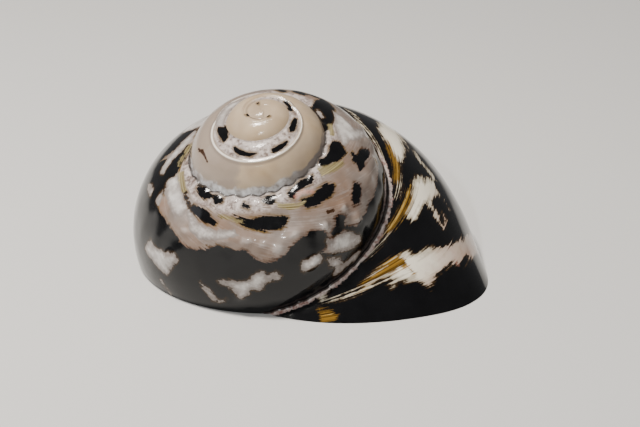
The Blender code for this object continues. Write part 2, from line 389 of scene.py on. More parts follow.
def spiralTree(material):
    tree = bpy.data.node_groups.new("spiral shell", "GeometryNodeTree")
    tree.interface.new_socket("Net", in_out="INPUT", socket_type="NodeSocketGeometry")
    for name in law:
        tree.interface.new_socket(name, in_out="INPUT", socket_type="NodeSocketFloat")
    tree.interface.new_socket("Shell", in_out="OUTPUT", socket_type="NodeSocketGeometry")
    start = put(tree, "NodeGroupInput", {}, {})
    given = {name: Number(start.outputs[name]) for name in law}
    stored = {}
    for name in layout:
        node = put(tree, "GeometryNodeInputNamedAttribute", {}, {"Name": name})
        stored[name] = Number(node.outputs[0])
    x = stored["growth"]
    angle = stored["angle"]
    place = stored["place"]

    # The section: the same law as in section, flare and outline.
    scale = (x * given["growth per turn"] + x * x * given["growth change"]).calc("EXPONENT")
    radius = scale * given["centre radius"]
    descent = x.ramp(*onset["lip descent"]) * given["lip descent"]
    drop = scale * given["centre drop"] * (x * given["drop gain"] + 1.0) + descent
    half = scale * (x * given["section gain"] + 1.0)
    radial = half * given["section radial"]
    axial = half * given["section axial"]
    cosine = angle.calc("COSINE")
    sine = angle.calc("SINE")
    square = x.ramp(*onset["lip squareness"]) * given["lip squareness"]
    lowerOuter = cosine.calc("GREATER_THAN", 0.0) * sine.calc("GREATER_THAN", 0.0)
    power = (square / (square + 2.0)) * lowerOuter * -1.0 + 1.0
    facing = cosine.calc("MAXIMUM", 0.0)
    wide = x.ramp(*onset["lip flare"]) * given["lip flare"]
    wide = wide - x.hump(given["lip pinch place"], onset["pinch width"]) * given["lip pinch"]
    wide = wide + x.hump(given["side swell place"], onset["swell width"]) * given["side swell"]
    corner = x.hump(given["lip corner place"], given["lip corner width"]) * given["lip corner"]
    wider = wide * facing + corner * facing.calc("POWER", given["lip corner power"]) + 1.0
    outward = radial * wider * cosine.calc("SIGN") * cosine.calc("ABSOLUTE").calc("POWER", power)
    along = axial * sine.calc("SIGN") * sine.calc("ABSOLUTE").calc("POWER", power)

    # Rows of nodules, each a Gaussian ridge across the band cut into beads along it.
    phase = x * given["nodules per turn"] * math.tau
    nodular = x.ramp(-0.38, -0.22) * (x.ramp(0.16, 0.30) * -1.0 + 1.0)
    spot = put(tree, "ShaderNodeCombineXYZ", {}, {0: x * 11.0, 1: place * 3.0})
    sizes = put(tree, "ShaderNodeTexNoise", {}, {
        "Scale": 1.0, "Detail": 1.0, "Vector": spot.outputs[0]})
    uneven = (Number(sizes.outputs[0]) - 0.5) * relief["size spread"] + 1.0
    shoulder = (x * relief["shoulder slope"] + relief["shoulder place"]).clamp(
        *relief["shoulder limits"])
    upperPlace, upperWidth = relief["upper row"]
    beadRows = (
        (upperPlace, upperWidth, "upper row height", 0.0),
        (shoulder, relief["shoulder width"], "shoulder row height", math.pi),
        (shoulder + relief["lower row below"], relief["lower row width"], "lower row height", 0.0),
    )
    height = None
    for middle, width, tall, shift in beadRows:
        beads = ((phase + shift).calc("COSINE") * 0.5 + 0.5).calc("POWER", relief["bead power"])
        cut = beads * relief["bead share"] + (1.0 - relief["bead share"])
        ridge = place.hump(middle, width) * cut * given[tall] * nodular * uneven
        height = ridge if height is None else height + ridge
    for growthAt, placeAt, halfLong, halfWide, tall in nodules:
        sideways = (x - growthAt) * (relief["turn length"] / halfLong)
        upDown = (place - placeAt) * (relief["band height"] / halfWide)
        dome = ((sideways * sideways + upDown * upDown) * -1.0).calc("EXPONENT")
        height = height + dome * (tall * mm)
    cord = place.hump(cordPlace(x), relief["cord width"]) * given["cord height"]
    height = height + cord * x.ramp(-2.0, -1.6) * (x.ramp(-0.70, -0.50) * -1.0 + 1.0)
    spot = put(tree, "ShaderNodeCombineXYZ", {}, {
        0: x * 30.0, 1: place * 7.0, 2: given["seed"] * 3.7})
    lumps = put(tree, "ShaderNodeTexNoise", {}, {
        "Scale": 1.0, "Detail": 2.0, "Vector": spot.outputs[0]})
    lump = Number(lumps.outputs[0]) - 0.5
    height = height + lump * given["unevenness"] * 2.0 * x.ramp(-1.6, -0.5)
    height = height * place.ramp(0.0, 0.05) * (place.ramp(0.90, 1.0) * -1.0 + 1.0)
    kept = put(tree, "GeometryNodeStoreNamedAttribute", {}, {
        "Name": "bead", "Geometry": start.outputs["Net"], "Value": height / mm})

    # The relief stands out at right angles to the section, then the point turns and leans.
    outAcross = cosine * axial
    outAlong = sine * radial
    length = (outAcross * outAcross + outAlong * outAlong).calc("SQRT")
    outward = outward + height * outAcross / length
    along = along + height * outAlong / length
    c = given["section tilt"].calc("COSINE")
    s = given["section tilt"].calc("SINE")
    rho = radius + outward * c - along * s + stored["shift rho"]
    deep = drop + outward * s + along * c + stored["shift drop"]
    rho = rho.calc("MAXIMUM", 0.0)
    turn = x * math.tau + math.pi
    point = put(tree, "ShaderNodeCombineXYZ", {}, {
        0: rho * turn.calc("SINE"), 1: rho * turn.calc("COSINE"), 2: deep * -1.0})
    forward = put(tree, "ShaderNodeVectorRotate", {"rotation_type": "X_AXIS"}, {
        "Vector": point.outputs[0], "Angle": pose["forward lean"]})
    leaning = put(tree, "ShaderNodeVectorRotate", {"rotation_type": "AXIS_ANGLE"}, {
        "Vector": forward.outputs[0], "Angle": pose["side lean"],
        "Axis": pose["side lean line"].normalized()})
    lifted = put(tree, "ShaderNodeVectorMath", {"operation": "ADD"}, {
        0: leaning.outputs[0], 1: pose["lift"]})
    shaped = put(tree, "GeometryNodeSetPosition", {}, {
        "Geometry": kept.outputs[0], "Position": lifted.outputs[0]})
    real = put(tree, "GeometryNodeRealizeInstances", {}, {"Geometry": shaped.outputs[0]})
    painted = put(tree, "GeometryNodeSetMaterial", {}, {
        "Geometry": real.outputs[0], "Material": material})
    put(tree, "NodeGroupOutput", {}, {0: painted.outputs[0]})
    return tree


# What each vertex of the net knows, in the order of bandNet's columns.
layout = ("growth", "angle", "place", "shift rho", "shift drop")


# The outer surface, still closed below the resting plane.
def growSurface(material):
    values, faces, corners = bandNet()
    netMesh = bpy.data.meshes.new("net")
    netMesh.from_pydata(np.zeros((len(values), 3)).tolist(), [], faces)
    for column, name in enumerate(layout):
        layer = netMesh.attributes.new(name, "FLOAT", "POINT")
        layer.data.foreach_set("value", values[:, column].copy())
    paintFields(netMesh, corners[:, 0], corners[:, 1])
    net = addObject("net", netMesh)
    modifier = net.modifiers.new("spiral", "NODES")
    modifier.node_group = spiralTree(material)
    for item in modifier.node_group.interface.items_tree:
        if item.name in law:
            modifier[item.identifier] = law[item.name]
    depsgraph = bpy.context.evaluated_depsgraph_get()
    grown = bpy.data.meshes.new_from_object(net.evaluated_get(depsgraph), depsgraph=depsgraph)
    net.modifiers.remove(modifier)
    bpy.data.objects.remove(net, do_unlink=True)
    for name in layout:
        grown.attributes.remove(grown.attributes[name])
    return grown


# The space behind the aperture, along the last turn.
hollow = {
    "wall": 2.4 * mm,
    "inner wall": 1.2 * mm,
    "start": 0.38,
    "end": 1.00,
    "start rounding": 0.18,
    "end rounding": 0.16,
    "smallest ring": 0.06,
    "centre out": 0.42,
    "centre down": 0.05,
    "opening start": 0.47,
    "opening curve": 0.06,
    "opening length": 0.14,
    "opening depth": 60.0 * mm,
    "columella radius": 9.0 * mm,
    "columella growth": 0.6,
    "end dive": 9.0 * mm,
    "spokes": 72,
    "steps": 156,
    "smoothing rounds": 24,
}


# How far a ray runs to a section made larger by grow, on leaving or on entering it.
def rayToSection(x, rho0, drop0, dr, dd, grow, leaving):
    radius, drop, radial, axial = section(x)
    px = ((rho0 - radius) * tiltCos + (drop0 - drop) * tiltSin) / (radial + grow)
    py = (-(rho0 - radius) * tiltSin + (drop0 - drop) * tiltCos) / (axial + grow)
    vx = (dr * tiltCos + dd * tiltSin) / (radial + grow)
    vy = (-dr * tiltSin + dd * tiltCos) / (axial + grow)
    a = vx * vx + vy * vy
    b = px * vx + py * vy
    disc = b * b - a * (px * px + py * py - 1.0)
    root = np.sqrt(np.maximum(disc, 0.0))
    distance = (-b + root) / a if leaving else (-b - root) / a
    return np.where((disc > 0.0) & (distance > 0.0), distance, np.inf)


# The wall of that space, facing inward: rings of spokes that stop at whatever comes first.
def hollowNet():
    n = hollow["spokes"]
    spokes = np.arange(n) * 2.0 * math.pi / n
    dr = np.cos(spokes)
    dd = np.sin(spokes)
    rings = []
    for i in range(hollow["steps"] + 1):
        share = i / hollow["steps"]
        x = hollow["start"] + (hollow["end"] - hollow["start"]) * share
        radius, drop, radial, axial = section(x)
        endRound = max(share - (1.0 - hollow["end rounding"]), 0.0) / hollow["end rounding"]
        rho0 = radius + hollow["centre out"] * radial
        drop0 = drop + hollow["centre down"] * axial + hollow["end dive"] * endRound ** 2
        reach = rayToSection(x, rho0, drop0, dr, dd, -hollow["wall"], True) * flare(x, spokes)
        before = rayToSection(x - 1.0, rho0, drop0, dr, dd, hollow["inner wall"], False)
        reach = np.minimum(reach, before)
        growing = hollow["columella growth"]
        core = hollow["columella radius"] * (growing + growing * x)
        toCore = (rho0 - core) / np.minimum(dr, -1e-6) * -1.0
        reach = np.minimum(reach, np.where(dr < -1e-6, toCore, np.inf))
        here = stand @ Vector(placePoint(rho0, drop0, x))
        slope = np.array([(stand @ Vector(placePoint(rho0 + a * mm, drop0 + b * mm, x))).z - here.z
                          for a, b in zip(dr, dd)]) / mm
        begin = hollow["opening start"] + hollow["opening curve"] * dr * dr
        opening = ramp(begin, begin + hollow["opening length"], x)
        floorHeight = hollow["wall"] - hollow["opening depth"] * opening
        down = np.where(slope < -1e-6, (floorHeight - here.z) / np.minimum(slope, -1e-6), np.inf)
        reach = np.minimum(reach, np.where(down > 0.0, down, 0.2 * mm))
        for _ in range(hollow["smoothing rounds"]):
            softer = 0.25 * np.roll(reach, 1) + 0.5 * reach + 0.25 * np.roll(reach, -1)
            reach = np.minimum(reach, softer)
        startRound = 1.0 - min(share / hollow["start rounding"], 1.0)
        taper = math.sqrt(max(1.0 - startRound ** 2 - endRound ** 2, 0.0))
        reach = reach * max(taper, hollow["smallest ring"])
        rings.append([stand @ Vector(placePoint(rho0 + r * a, drop0 + r * b, x))
                      for r, a, b in zip(reach, dr, dd)])
    verts = [point for ring in rings for point in ring]
    faces = []
    for i in range(hollow["steps"]):
        for j in range(n):
            k = (j + 1) % n
            faces.append((i * n + j, i * n + k, (i + 1) * n + k, (i + 1) * n + j))
    faces.append(tuple(range(n - 1, -1, -1)))
    faces.append(tuple(hollow["steps"] * n + j for j in range(n)))
    return verts, faces


# Both surfaces are cut at the resting plane and joined by a flat rim.
# Zone is 0 outside, 1 in the hollow and 2 on the rim.
def closeShell(outer):
    work = bmesh.new()
    work.from_mesh(outer)
    zone = work.loops.layers.float.new("zone")
    verts, faces = hollowNet()
    added = [work.verts.new(point) for point in verts]
    for face in faces:
        for loop in work.faces.new([added[k] for k in face]).loops:
            loop[zone] = 1.0
    work.normal_update()
    everything = list(work.verts) + list(work.edges) + list(work.faces)
    bmesh.ops.bisect_plane(work, geom=everything, dist=1e-7, plane_no=(0.0, 0.0, -1.0),
                           clear_outer=True)
    for vert in work.verts:
        if abs(vert.co.z) < 1e-6:
            vert.co.z = 0.0
    rim = [edge for edge in work.edges if edge.is_boundary]
    filled = bmesh.ops.triangle_fill(work, edges=rim, use_beauty=True)
    base = [item for item in filled["geom"] if isinstance(item, bmesh.types.BMFace)]
    for face in base:
        for loop in face.loops:
            loop[zone] = 2.0
    bmesh.ops.recalc_face_normals(work, faces=list(work.faces))
    closed = bpy.data.meshes.new("shell surface")
    work.to_mesh(closed)
    openEdges = sum(1 for edge in work.edges if not edge.is_manifold)
    print("rim edges", len(rim), "base faces", len(base), "open edges", openEdges)
    work.free()
    closed.update()
    return closed


# The flames as outlines: half width in mm (0 for a filled outline), then the corners, each as
# growth and place in thousandths.
flames = {}
flames["black"] = (
    (0, (-730, 130, -724, 75, -736, 13, -773, 15, -806, 88, -814, 175, -781, 160, -751, 147)),
    (0, (-866, 195, -894, 228, -926, 273, -954, 283, -935, 312, -901, 300, -880, 263)),
    (0, (-1010, 283, -1042, 275, -1072, 280, -1062, 318, -1033, 340, -1013, 330)),
    (0, (-1123, 115, -1170, 107, -1194, 155, -1160, 195, -1127, 215, -1114, 175)),
    (0.19, (-1334, 107, -1303, 88, -1249, 70, -1270, 18)),
    (0, (196, 18, 174, 25, 158, 18, 140, 77, 150, 90, 167, 83, 185, 52)),
    (0, (142, 48, 132, 40, 116, 37, 113, 92, 125, 105, 132, 88)),
    (0, (31, 58, 18, 52, 5, 48, 5, 103, 16, 125, 26, 105)),
    (0.24, (68, 88, 55, 118)),
    (0, (210, 130, 193, 130, 172, 170, 154, 170, 133, 177, 116, 228, 104, 258, 108, 275, 124, 263,
        143, 242, 161, 225, 180, 193, 196, 165)),
    (0, (82, 182, 59, 210, 41, 217, 24, 217, 0, 260, -10, 285, -4, 333, 16, 325, 37, 300, 58, 258,
        71, 223)),
    (0, (-25, 70, -48, 43, -74, 43, -89, 70, -78, 122, -58, 100, -41, 95, -32, 147, -24, 118)),
    (0, (-44, 198, -62, 230, -79, 215, -97, 217, -110, 280, -103, 318, -89, 320, -74, 315, -65, 320,
        -48, 283, -40, 230)),
    (0, (-185, 68, -200, 107, -206, 200, -191, 205, -186, 245, -166, 210, -154, 182, -150, 135,
        -138, 125, -126, 110, -122, 45, -130, 25, -145, 75, -164, 85)),
    (0, (-193, 325, -192, 388, -209, 410, -227, 527, -218, 530, -200, 497, -185, 482, -173, 438,
        -179, 395, -178, 350)),
    (0, (-144, 438, -150, 512, -139, 540, -130, 578, -119, 555, -127, 492)),
    (0, (-350, 182, -360, 375, -338, 355, -308, 268, -264, 143, -242, 60, -235, 3, -248, 3,
        -274, 13, -295, 7, -330, 43)),
    (0, (-90, 525, -95, 575, -90, 630, -80, 640, -71, 625, -67, 593, -76, 580, -83, 517)),
    (0, (-142, 698, -157, 723, -178, 810, -176, 850, -164, 848, -149, 760)),
    (0, (-92, 640, -104, 713, -114, 755, -132, 843, -150, 950, -148, 993, -130, 917, -119, 893,
        -114, 995, -103, 993, -98, 995, -88, 875, -76, 860, -65, 845, -64, 805, -77, 807, -95, 873,
        -108, 860, -109, 812, -98, 740, -91, 675)),
    (0.48, (-176, 850, -161, 920, -149, 965)),
    (0, (281, 623, 300, 432, 310, 312, 302, 175, 311, 107, 336, 80, 324, 28, 288, 48, 257, 115,
        241, 185, 230, 255, 227, 320, 220, 365, 205, 378, 185, 388, 166, 425, 151, 475, 132, 492,
        110, 465, 92, 430, 72, 453, 53, 458, 44, 525, 32, 575, 16, 583, 4, 575, -6, 530, -17, 500,
        -26, 485, -41, 478, -54, 530, -59, 595, -55, 652, -41, 647, -55, 740, -65, 845, -58, 888,
        -36, 888, -10, 875, 16, 888, 38, 912, 66, 960, 107, 927, 138, 915, 162, 868, 190, 812,
        222, 790, 260, 785)),
    (0.15, (-1766, 35, -1790, 20)),
    (0.15, (-2080, 62, -2050, 40)),
    (0.13, (-2566, 385, -2550, 380)),
)
flames["brown"] = (
    (0.36, (-754, 600, -780, 565, -798, 580)),
    (0.29, (-780, 565, -798, 583, -810, 618)),
    (0.48, (-74, 422, -84, 445)),
    (0.07, (-2060, 45, -1920, 55, -1790, 35)),
    (0, (-760, 647, -762, 560, -772, 515, -790, 540, -812, 610, -800, 610, -785, 575, -770, 580)),
)
flames["white"] = (
    (0.27, (191, 128, 164, 168)),
    (0, (-318, 75, -300, 72, -280, 62, -277, 13, -295, 7, -314, 35)),
    (0, (278, 398, 272, 352, 254, 338, 246, 383, 264, 403)),
    (0, (233, 343, 239, 283, 236, 255, 224, 292, 216, 352, 226, 360)),
    (0, (281, 263, 302, 215, 326, 155, 360, 120, 380, 110, 370, 72, 340, 50, 311, 92, 289, 168,
        269, 233)),
    (0, (202, 578, 186, 593, 167, 580, 154, 550, 145, 580, 152, 655, 161, 748, 176, 738, 192, 703,
        211, 688)),
    (0.36, (172, 825, 164, 865, 156, 895)),
    (0, (90, 688, 76, 665, 66, 690, 56, 688, 47, 660, 41, 628, 34, 628, 29, 662, 17, 660, 10, 713,
        16, 735, 25, 718, 32, 738, 36, 775, 43, 775, 48, 755, 52, 797, 59, 820, 65, 807, 70, 763,
        76, 718, 86, 715)),
    (0, (113, 703, 104, 738, 97, 790, 90, 848, 80, 835, 86, 873, 96, 860, 106, 790)),
    (1.33, (-23, 700, -30, 703, -37, 703)),
    (0, (-59, 595, -65, 638, -78, 647, -94, 695, -107, 807, -108, 880, -89, 833, -70, 772, -56, 720,
        -55, 660)),
    (0, (-52, 745, -68, 823, -71, 895, -61, 907, -53, 825)),
    (0.84, (-95, 940, -74, 925, -60, 922)),
    (0, (-308, 253, -286, 338, -262, 403, -292, 705, -257, 557, -232, 393, -221, 285, -196, 225,
        -212, 143, -252, 125)),
    (0, (167, 217, 133, 275, 104, 307, 73, 288, 64, 343, 100, 388, 122, 393, 144, 348)),
    (0.31, (610, 210, 650, 98, 702, 30, 754, 3)),
    (0, (650, 255, 642, 367, 660, 362, 694, 245, 708, 217, 725, 147, 738, 105, 730, 95, 708, 105,
        685, 133, 666, 170)),
    (0.63, (668, 338, 696, 283, 714, 283, 727, 307, 740, 338)),
    (0, (746, 212, 757, 223, 743, 283, 750, 318, 763, 325, 773, 268, 779, 245, 787, 258, 794, 280,
        800, 292, 803, 273, 797, 250, 785, 228, 787, 205, 800, 175, 814, 158, 820, 128, 816, 105,
        799, 120, 780, 133, 762, 158, 751, 188)),
    (0.34, (786, 323, 796, 312, 804, 297)),
    (0.22, (767, 360, 773, 367)),
    (0, (760, 675, 764, 693, 772, 698, 802, 512, 818, 432, 830, 385, 838, 350, 847, 320, 856, 300,
        866, 300, 872, 295, 875, 270, 876, 233, 882, 215, 890, 185, 899, 182, 898, 165, 889, 173,
        898, 145, 913, 125, 928, 113, 937, 105, 929, 98, 917, 95, 901, 95, 884, 105, 872, 120,
        860, 152, 853, 198, 840, 233, 828, 292, 814, 352, 797, 445, 776, 542)),
    (0.39, (968, 48, 955, 72, 938, 95, 922, 105)),
    (0, (970, 3, 961, 18, 960, 43, 968, 48, 972, 18)),
    (0.24, (900, 10, 880, 28, 860, 37, 841, 45)),
    (0.24, (739, 98, 764, 75, 796, 55)),
    (0.43, (916, 3, 940, 3, 961, 0, 984, 5, 1018, 3, 1038, 3)),
    (0, (-735, 40, -660, 20, -580, 30, -550, 100, -600, 170, -660, 170, -720, 180)),
    (0, (252, 193, 246, 107, 205, 140, 168, 212, 166, 307, 199, 292, 230, 255)),
)
flames["ochre"] = (
    (0.48, (272, 90, 304, 52, 335, 28)),
    (0.72, (250, 80, 222, 103, 202, 130)),
    (0, (114, 193, 96, 180, 74, 208, 56, 242, 70, 240, 91, 217)),
    (0, (5, 122, -12, 160, -38, 217, -52, 217, -40, 250, -18, 225, 1, 173)),
    (0, (-112, 55, -138, 143, -164, 238, -161, 268, -134, 215, -103, 145)),
    (0.6, (-253, 83, -221, 88)),
    (0, (768, 140, 792, 130, 817, 95, 836, 68, 857, 33, 868, 20, 835, 40, 818, 60, 800, 83,
        782, 110)),
    (0, (688, 152, 712, 115, 734, 113, 751, 95, 774, 55, 763, 45, 745, 68, 725, 75, 708, 85)),
    (0, (865, 147, 871, 168, 883, 160, 895, 138, 911, 118, 925, 110, 934, 103, 920, 90, 906, 95,
        889, 103, 875, 120)),
    (0.6, (874, 177, 871, 212)),
    (0, (976, 65, 964, 98, 959, 130, 964, 150, 976, 128)),
)
flames["pink"] = (
    (0.53, (-35, 143, -53, 138, -70, 193)),
    (0.77, (824, 345, 832, 365)),
    (1.2, (809, 445, 786, 547)),
    (0.58, (965, 3, 952, 3)),
    (0.39, (740, 22, 785, 13, 827, 15, 859, 20, 887, 7, 913, 5)),
)

# Random flames on the far side, of the same kinds as the ones that show.
farMarks = {
    "white": {"seed": 3, "count": 12, "growth": (0.36, 0.60), "place": (0.15, 0.9),
              "height": (0.06, 0.13)},
    "black": {"seed": 5, "count": 14, "growth": (-0.56, -0.36), "place": (0.2, 0.7),
              "height": (0.05, 0.1)},
}
# The plain black areas: the growth over which each comes in and the place it starts from.
plainBlack = {
    "last whorl": (0.36, 0.48),
    "side": (0.24, 0.34),
    "side place": 0.35,
    "side from": 0.16,
    "low front": (-0.50, -0.24),
    "low front place": 0.72,
    "low front until": 0.5,
}
noMark = -9.0  # a mark's value in mm where none is near
bandGain = 0.80  # how fast the band grows taller
flameReach = 0.8  # share of the section's half width at which a flame's width is measured


# Millimetres across the band at growth x.
def bandLength(x):
    return relief["band height"] * np.exp(bandGain * x)


# Distance in mm into the nearest mark at every corner, negative outside it.
def markValue(growth, place, shapes):
    result = np.full(len(growth), noMark)
    for half, corners in shapes:
        middle = corners[:, 0].mean()
        spread = np.ptp(corners[:, 0]) + 0.12
        near = np.nonzero(np.abs(growth - middle) < spread)[0]
        radius, _drop, radial, _axial = section(middle)
        wide = math.tau * (radius + flameReach * radial) / mm
        tall = bandLength(middle)
        px = growth[near] * wide
        py = place[near] * tall
        qx = corners[:, 0] * wide
        qy = corners[:, 1] * tall
        closed = half == 0
        sides = len(corners) if closed else len(corners) - 1
        best = np.full(len(near), 99.0)
        inside = np.zeros(len(near), bool)
        for a in range(sides):
            b = (a + 1) % len(corners)
            ex = qx[b] - qx[a]
            ey = qy[b] - qy[a]
            t = ((px - qx[a]) * ex + (py - qy[a]) * ey) / max(ex * ex + ey * ey, 1e-9)
            t = np.clip(t, 0.0, 1.0)
            best = np.minimum(best, np.hypot(px - qx[a] - t * ex, py - qy[a] - t * ey))
            if closed and abs(ey) > 1e-9:
                crosses = (qy[a] > py) != (qy[b] > py)
                inside ^= crosses & (px < qx[a] + (py - qy[a]) / ey * ex)
        value = np.where(inside, best, -best) if closed else half - best
        result[near] = np.maximum(result[near], value)
    return result


def farFlames(facts):
    chance = random.Random(facts["seed"])
    sides = 9
    narrowness = 0.35
    shapes = []
    for _ in range(facts["count"]):
        x = chance.uniform(*facts["growth"])
        p = chance.uniform(*facts["place"])
        tallness = chance.uniform(*facts["height"])
        slant = chance.uniform(0.25, 0.5)
        points = []
        for k in range(sides):
            turn = math.tau * k / sides
            rough = chance.uniform(0.6, 1.3)
            along = tallness * math.sin(turn) * rough
            around = narrowness * tallness * math.cos(turn) * rough
            points.append((x + around * 0.55 - slant * along * 0.35, p + along))
        shapes.append((0, np.array(points)))
    return shapes


def paintFields(mesh, growth, place):
    fields = {"turn": growth, "band": place, "from suture": place * bandLength(growth)}
    for kind, outlines in flames.items():
        drawn = [(half, np.reshape(flat, (-1, 2)) / 1000.0) for half, flat in outlines]
        far = farFlames(farMarks[kind]) if kind in farMarks else []
        fields[kind] = markValue(growth, place, drawn + far)
    # The last whorl is black all over under its light flames, and so is the low front.
    lastWhorl = (ramp(*plainBlack["last whorl"], growth) - 0.5) * 12.0
    side = (ramp(*plainBlack["side"], growth) - 0.5) * 12.0
    side = side + (place - plainBlack["side place"]) * 12.0 - 3.0
    side = np.where(growth > plainBlack["side from"], side, noMark)
    fading = (1.0 - ramp(*plainBlack["low front"], growth)) * 16.0
    lowFront = (place - plainBlack["low front place"]) * 30.0 - fading
    lowFront = np.where(growth < plainBlack["low front until"], lowFront, noMark)
    plain = np.maximum(np.maximum(lastWhorl, side), lowFront)
    fields["black"] = np.maximum(fields["black"], plain)
    for name, values in fields.items():
        layer = mesh.attributes.new(name, "FLOAT", "CORNER")
        layer.data.foreach_set("value", np.asarray(values, np.float32))


def colour(text):
    parts = [int(text[k:k + 2], 16) / 255.0 for k in (1, 3, 5)]
    linear = [c / 12.92 if c <= 0.04045 else ((c + 0.055) / 1.055) ** 2.4 for c in parts]
    return (*linear, 1.0)


tones = {
    "beige": "#A99273", "light beige": "#C3AE92", "grey beige": "#8B7F77", "pearl": "#70655D",
    "light pearl": "#998E86", "brown pearl": "#87664E", "veil": "#B9B0AC",
    "dark chalk": "#5F4F48", "chalk": "#C4B9B3", "painted shade on rim": "#6E6765", "rim": "#857F7D",
    # The dark grey rim tone below is painted shade, for the right side of the pale band above the
    # suture.
    "bright rim": "#DEE0E2", "nodule wear and highlight": "#CFC8C2", "nodule foot": "#6E625A",
    # The light nodule top tone below is partly worn pearl, partly painted highlight.
    "beside cord": "#8A7C70", "cord": "#F0E8DC", "dark olive": "#3A2614", "olive": "#80683A",
    "low olive": "#4A2F1C", "brown": "#3A2413", "black": "#050506", "soft black": "#0E0E10",
    "amber": "#5E4420", "grey flame": "#857C76", "pale flame": "#CDC8C3",
    "dull cream": "#A89E8A", "cream": "#E4DDCB", "dark ochre": "#4F3F18", "ochre": "#9A8F6C",
    "last dark ochre": "#2A1A05", "last ochre": "#A0782A", "ochre thread": "#D2C48C",
    "pink": "#B98070", "lip": "#A98670", "pale lip": "#C4B4A8", "welt": "#8C6A62",
    # The near-black suture tone below is painted shade in the suture creases.
    "pale welt": "#D8CBC4", "paintedSutureShade": "#120D0A", "inside": "#CFC8C2",
    "bright inside": "#E6E1DB", "warm inside": "#C9B4A8", "base pearl": "#C8C1B8",
}
# Clouds, blotches and grain: size in mm, and detail.
patterns = {
    "patch": (9.0, 1.0),
    "cloud": (6.0, 2.0),
    "coarse": (3.2, 3.0),
    "medium": (1.3, 3.0),
    "grain": (0.45, 2.0),
}
# Streaks along the growth lines: count in a turn, counts across the band and along the growth,
# shift and detail. Where a turn is 176 mm long, 420 are 0.42 mm apart, 330 are 0.53 mm and 150
# are 1.2 mm. Real growth lines are finer and wouldn't show, so these are drawn coarser.
streaks = {
    "streak": (420.0, 5.0, 3.0, 0.0, 3.0),
    "sweep": (150.0, 4.0, 2.0, 0.0, 2.0),
    "strand": (330.0, 3.0, 2.0, 9.0, 4.0),
}
finish = {
    "IOR": 1.45,
    "Coat Weight": 0.15,
    "Coat Roughness": 0.05,
    "Specular IOR Level": 0.35,
}
# Roughness of the polished and the chalky skin, the growth lines' relief, and the base.
wear = {
    "polished": 0.11,
    "chalky": 0.35,
    "line depth": 0.12 * mm,
    "line strength": 0.25,
    "callus at": Vector((9.0, -3.0, 0.0)) * mm,
    "callus radius": (35.5, 37.0),  # mm
}
skinFields = ("turn", "band", "from suture", "bead", "zone", *flames)


